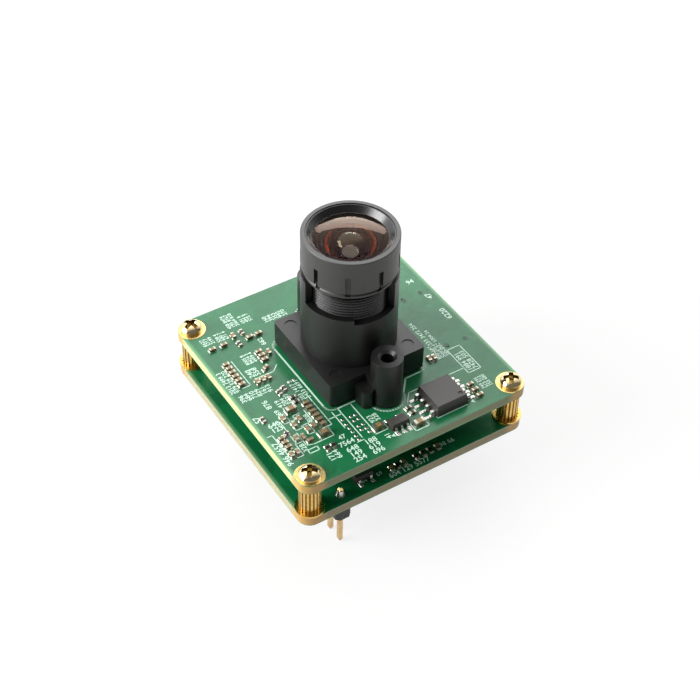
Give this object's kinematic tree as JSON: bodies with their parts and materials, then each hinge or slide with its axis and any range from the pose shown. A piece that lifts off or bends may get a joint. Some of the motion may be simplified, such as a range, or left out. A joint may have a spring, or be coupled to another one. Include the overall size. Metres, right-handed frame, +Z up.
{
  "type": "board camera module",
  "caption": "Square two-board camera module with a screw-in wide-angle lens in a moulded holder, brass standoffs and pin headers underneath.",
  "frame": {"origin": "middle of the plane of the header pins' tips, under the lens axis", "axes": "+Z up along the lens axis; -Y towards the side with the flash chip and the near screw post; the long header strip's first pin is at the -X -Y corner"},
  "size_m": [0.0383, 0.0382, 0.0403],
  "materials": {
    "upper_mask": "green solder mask on glass-epoxy board",
    "lower_mask": "green solder mask on glass-epoxy board",
    "gold_pad": "gold-flashed copper",
    "brass": "turned brass",
    "gilt_steel": "bright gilt plating",
    "holder_black": "moulded satin black",
    "steel": "zinc-plated",
    "anodised_black": "satin black anodised",
    "lens_glass": "coated optical glass",
    "filter_glass": "infrared-cut filter",
    "package_ceramic": "dark ceramic package",
    "silicon": "polished silicon",
    "chip_black": "moulded epoxy",
    "tin": "tinned",
    "capacitor_ceramic": "fired tan ceramic",
    "resistor_ceramic": "black glaze",
    "connector_black": "moulded nylon"
  },
  "bodies": {
    "housing": {"upper_board": "upper_mask", "upper_board_pads": "gold_pad", "lower_board": "lower_mask", "lower_board_pads": "gold_pad", "standoffs": "brass", "board_screws": "gilt_steel", "lens_holder": "holder_black", "holder_screws": "steel", "infrared_filter": "filter_glass", "sensor_package": "package_ceramic", "sensor_die": "silicon", "sensor_cover_glass": "filter_glass", "flash_chip": "chip_black", "flash_chip_leads": "tin", "regulator_chips": "chip_black", "regulator_leads": "tin", "capacitor_bodies": "capacitor_ceramic", "capacitor_ends": "tin", "resistor_bodies": "resistor_ceramic", "resistor_ends": "tin", "link_plug": "connector_black", "link_socket": "connector_black", "link_contacts": "gold_pad", "main_chip": "chip_black", "clock_crystal": "steel", "header_strips": "connector_black", "header_pins": "gold_pad", "header_solder": "tin"},
    "lens_glass": {"front_element": "lens_glass", "middle_element": "lens_glass", "rear_element": "lens_glass"},
    "lens_tube": {"lens_barrel": "anodised_black", "front_retaining_ring": "anodised_black", "lens_spacer": "anodised_black", "aperture_stop": "anodised_black", "rear_retaining_ring": "anodised_black"}
  },
  "joints": [
    {"name": "focus_travel", "type": "slide", "parent": "housing", "child": "lens_glass", "axis": [0, 0, 1], "range_m": [-0.00025, 0.0015]},
    {"name": "focus_turn", "type": "hinge", "parent": "lens_glass", "child": "lens_tube", "pos_m": [0, 0, 0.03], "axis": [0, 0, 1], "range_deg": [-180, 1080]}
  ],
  "couplings": [
    {"joint": "focus_turn", "follows": "focus_travel", "rad_per_m": 12566}
  ]
}
